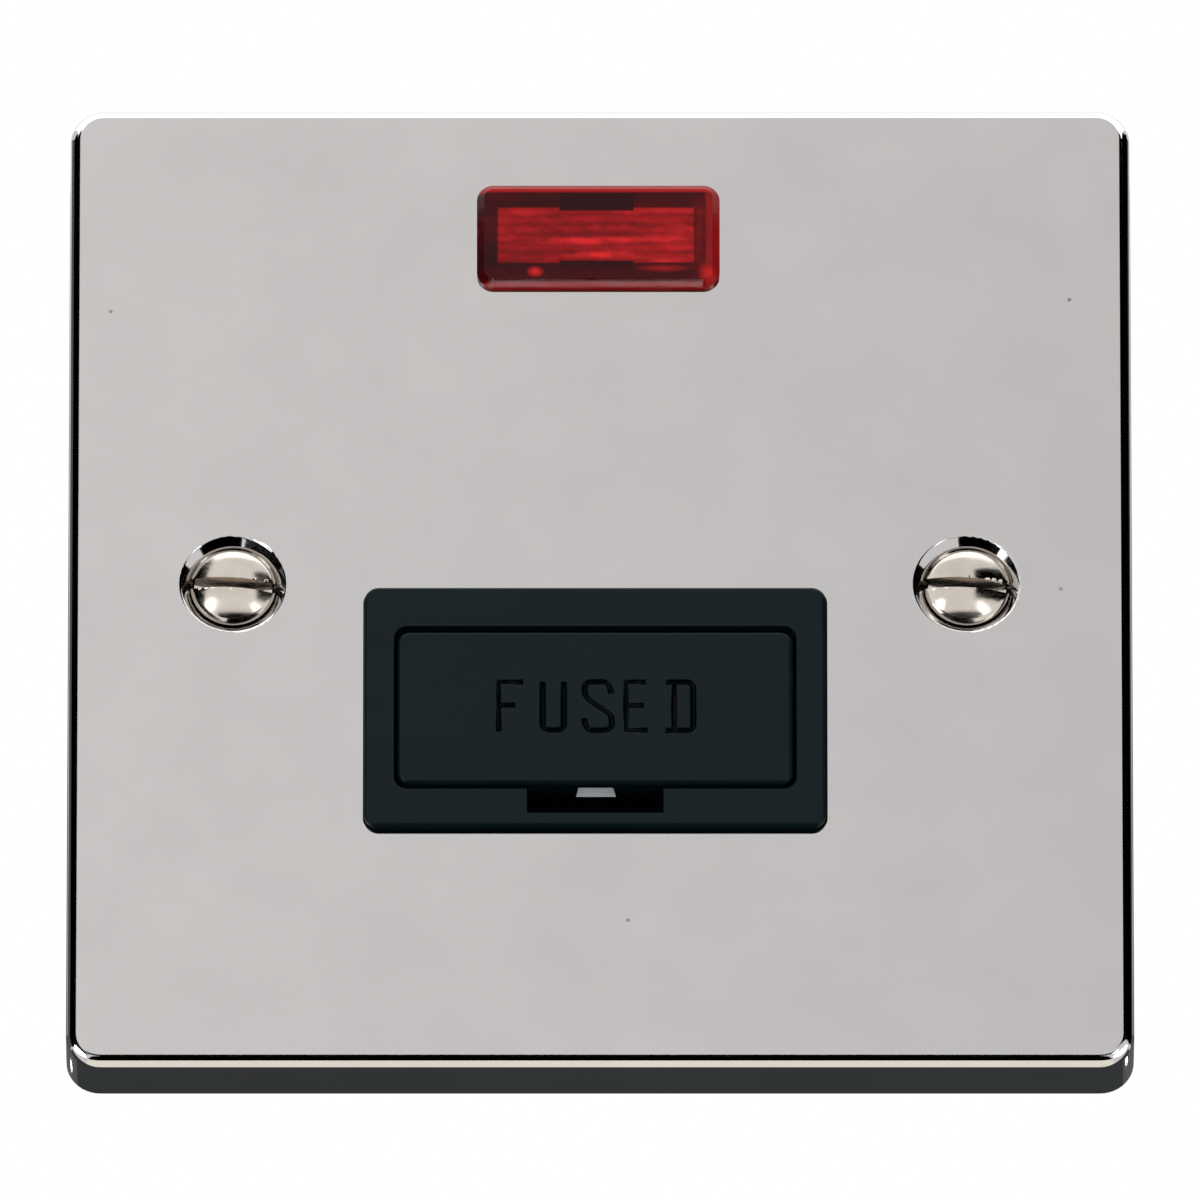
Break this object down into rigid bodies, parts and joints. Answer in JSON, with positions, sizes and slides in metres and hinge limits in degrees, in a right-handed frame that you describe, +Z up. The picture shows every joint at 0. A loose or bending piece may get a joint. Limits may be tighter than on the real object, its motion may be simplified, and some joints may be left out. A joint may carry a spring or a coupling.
{
  "type": "fused spur unit",
  "caption": "Square metal wall plate with a pull-out cartridge fuse drawer, a red neon indicator, fixing screws and a rear terminal housing.",
  "frame": {"origin": "on the wall plane, which is the rear rim of the plate, midway between the two fixing screws", "axes": "+Y into the wall along the fixing screws, +Z up, +X to the right seen from the front"},
  "size_m": [0.0874, 0.0257, 0.0874],
  "materials": {
    "polished_chrome": "polished chrome plate",
    "nickel_plate": "bright nickel plate",
    "black_moulding": "satin black moulding",
    "black_drawer": "satin black moulding",
    "fuse_ceramic": "unglazed white",
    "fuse_cap_metal": "nickel-plated brass",
    "phosphor_bronze": "rolled strip",
    "brass": "machined",
    "housing_plastic": "matt moulding",
    "red_lens": "translucent red",
    "lamp_glass": "clear",
    "resistor_body": "lacquered",
    "lead_wire": "tinned wire",
    "zinc_steel": "zinc plate"
  },
  "bodies": {
    "unit": {"front_plate": "polished_chrome", "front_insert": "black_moulding", "line_in_fuse_clip": "phosphor_bronze", "line_out_fuse_clip": "phosphor_bronze", "neutral_link": "brass", "earth_strap": "brass", "rear_housing": "housing_plastic", "neon_lens": "red_lens", "neon_lamp": "lamp_glass", "lamp_resistor": "resistor_body", "neutral_lamp_lead": "lead_wire", "live_lamp_lead": "lead_wire", "resistor_lead": "lead_wire", "line_in_terminal": "brass", "neutral_in_terminal": "brass", "neutral_out_terminal": "brass", "line_out_terminal": "brass", "earth_in_terminal": "brass", "earth_out_terminal": "brass", "housing_screw_left_upper": "zinc_steel", "housing_screw_left_lower": "zinc_steel", "housing_screw_right_upper": "zinc_steel", "housing_screw_right_lower": "zinc_steel"},
    "fuse_drawer": {"fuse_carrier": "black_drawer", "fuse_barrel": "fuse_ceramic", "fuse_cap_left": "fuse_cap_metal", "fuse_cap_right": "fuse_cap_metal"},
    "left_fixing_screw": {"fixing_screw_left": "nickel_plate"},
    "right_fixing_screw": {"fixing_screw_right": "nickel_plate"},
    "line_in_screw": {"line_in_clamp_screw": "zinc_steel"},
    "neutral_in_screw": {"neutral_in_clamp_screw": "zinc_steel"},
    "neutral_out_screw": {"neutral_out_clamp_screw": "zinc_steel"},
    "line_out_screw": {"line_out_clamp_screw": "zinc_steel"},
    "earth_in_screw": {"earth_in_clamp_screw": "zinc_steel"},
    "earth_out_screw": {"earth_out_clamp_screw": "zinc_steel"}
  },
  "joints": [
    {"name": "fuse_drawer_slide", "type": "slide", "parent": "unit", "child": "fuse_drawer", "axis": [0, -1, 0], "range_m": [0, 0.013]},
    {"name": "left_fixing_screw_turn", "type": "hinge", "parent": "unit", "child": "left_fixing_screw", "pos_m": [-0.03015, 0, 0], "axis": [0, 1, 0], "continuous": true},
    {"name": "right_fixing_screw_turn", "type": "hinge", "parent": "unit", "child": "right_fixing_screw", "pos_m": [0.03015, 0, 0], "axis": [0, 1, 0], "continuous": true},
    {"name": "line_in_screw_turn", "type": "hinge", "parent": "unit", "child": "line_in_screw", "pos_m": [-0.0189, 0.012, 0.01], "axis": [0, -1, 0], "range_deg": [0, 1440]},
    {"name": "neutral_in_screw_turn", "type": "hinge", "parent": "unit", "child": "neutral_in_screw", "pos_m": [-0.0069, 0.012, 0.01], "axis": [0, -1, 0], "range_deg": [0, 1440]},
    {"name": "neutral_out_screw_turn", "type": "hinge", "parent": "unit", "child": "neutral_out_screw", "pos_m": [0.0061, 0.012, 0.01], "axis": [0, -1, 0], "range_deg": [0, 1440]},
    {"name": "line_out_screw_turn", "type": "hinge", "parent": "unit", "child": "line_out_screw", "pos_m": [0.0181, 0.012, 0.01], "axis": [0, -1, 0], "range_deg": [0, 1440]},
    {"name": "earth_in_screw_turn", "type": "hinge", "parent": "unit", "child": "earth_in_screw", "pos_m": [-0.0084, 0.012, -0.026], "axis": [0, -1, 0], "range_deg": [0, 1440]},
    {"name": "earth_out_screw_turn", "type": "hinge", "parent": "unit", "child": "earth_out_screw", "pos_m": [0.0076, 0.012, -0.026], "axis": [0, -1, 0], "range_deg": [0, 1440]}
  ]
}
